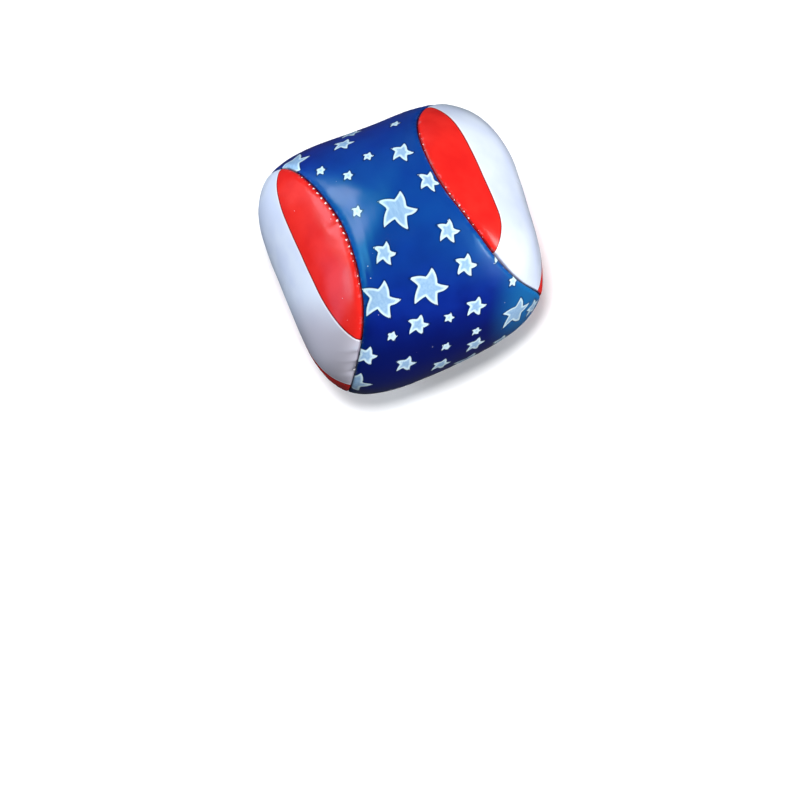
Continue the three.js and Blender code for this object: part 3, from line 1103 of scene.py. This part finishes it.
# Each light: watts, metres across, then its direction and its metres from the bag
# Mirrored lights only show in the gloss, and the others only shade
lights = {
    "key": {
        "power": 0.85, "size": 0.25, "from": (-0.49, 0.53, 0.69), "distance": 0.5,
        "colour": (1, 0.76, 0.96), "mirrored": True,
    },
    "glow": {
        "power": 0.6, "size": 0.44, "from": (-0.44, 0.47, 0.76), "distance": 0.5,
        "colour": (0.02, 1, 0.8), "mirrored": True,
    },
    "low": {
        "power": 0.75, "size": 0.26, "from": (-0.68, -0.1, 0.7), "distance": 0.5,
        "colour": (0.2, 0.85, 1), "mirrored": True,
    },
    "band": {
        "power": 0.6, "size": 0.3, "from": (-0.9, 0.05, 0.42), "distance": 0.5,
        "colour": (0.1, 0.6, 1), "mirrored": True,
    },
    "side": {
        "power": 1.1, "size": 0.2, "from": (0.84, -0.42, 0.34), "distance": 0.55,
        "colour": (1, 1, 1), "mirrored": True,
    },
    "fill": {
        "power": 5.6, "size": 0.4, "from": (0.72, -0.68, 0.12), "distance": 0.6,
        "colour": (1, 1, 1), "mirrored": False,
    },
    "back": {
        "power": 5, "size": 0.4, "from": (-0.62, 0.74, 0.2), "distance": 0.7,
        "colour": (0.82, 0.9, 1), "mirrored": False,
    },
    "rear": {
        "power": 1.1, "size": 0.4, "from": (0.45, 0.85, 0.35), "distance": 0.7,
        "colour": (0.82, 0.9, 1), "mirrored": False,
    },
    "top": {
        "power": 5.6, "size": 0.12, "from": (-0.052, -0.212, 0.975), "distance": 0.8,
        "colour": (1, 1, 1), "mirrored": False,
    },
}


def makeFloor():
    bpy.ops.object.select_all(action="DESELECT")
    bpy.ops.mesh.primitive_plane_add(size=studio["floorSize"])
    floor = bpy.context.active_object
    floor.name = "floor"
    shades = Shades("floor")
    shades.set(
        Base_Color=shades.mix(shades.noise(40, 2), studio["floor"], studio["floorShade"]),
        Roughness=0.8,
        Specular_IOR_Level=0.1,
        Emission_Color=(1, 1, 1, 1),
        Emission_Strength=studio["floorGlow"],
    )
    dress(floor, shades.material)
    floor.visible_glossy = False  # so that the vinyl doesn't mirror it
    floor.visible_diffuse = False  # and its glow doesn't light the bag from below


def addSoftbox(name, softbox):
    bpy.ops.object.light_add(type="AREA")
    light = bpy.context.active_object
    light.name = name + "_light"
    light.data.energy = softbox["power"]
    light.data.size = softbox["size"]
    light.data.color = softbox["colour"]
    out = Vector(softbox["from"]).normalized()
    light.location = Vector(middle * metre) + out * softbox["distance"]
    light.rotation_euler = out.to_track_quat("Z", "Y").to_euler()
    light.visible_glossy = softbox["mirrored"]
    light.visible_diffuse = not softbox["mirrored"]


def lightSurround():
    world = bpy.data.worlds.new("surround")
    bpy.context.scene.world = world
    world.use_nodes = True
    background = world.node_tree.nodes["Background"]
    background.inputs["Color"].default_value = (1, 1, 1, 1)
    background.inputs["Strength"].default_value = studio["surround"]


makeFloor()
for name, softbox in lights.items():
    addSoftbox(name, softbox)
lightSurround()
bpy.context.scene.view_settings.view_transform = "Standard"

view = {
    "azimuth": -8.4,
    "elevation": 67.1,
    "roll": 16.2,
    "distance": 0.7,
    "bagPixel": (403.3, 247.7),  # where the middle of the bag is in the picture
    "pixelsPerMetre": 5200,
    "pictureSize": 800,
    "sensor": 36,  # millimetres
}


def addCamera():
    azimuth, elevation = math.radians(view["azimuth"]), math.radians(view["elevation"])
    back = Vector((
        math.sin(azimuth) * math.cos(elevation),
        -math.cos(azimuth) * math.cos(elevation),
        math.sin(elevation),
    ))
    right = Vector((math.cos(azimuth), math.sin(azimuth), 0))
    turned = Matrix.Rotation(math.radians(-view["roll"]), 3, back)
    right = turned @ right
    up = back.cross(right)
    centre = Vector(middle * metre)
    half = view["pictureSize"] / 2
    aside = (view["bagPixel"][0] - half) / view["pixelsPerMetre"]
    above = (half - view["bagPixel"][1]) / view["pixelsPerMetre"]
    bpy.ops.object.camera_add(location=centre + back * view["distance"])
    camera = bpy.context.active_object
    forward = (centre - right * aside - up * above - camera.location).normalized()
    sideways = forward.cross(up).normalized()
    upward = sideways.cross(forward)
    camera.rotation_euler = Matrix((sideways, upward, -forward)).transposed().to_euler()
    camera.data.sensor_width = view["sensor"]
    camera.data.lens = view["pixelsPerMetre"] * view["distance"] * view["sensor"] / view["pictureSize"]
    camera.data.clip_start = 0.01
    bpy.context.scene.camera = camera


addCamera()
print("stage done")
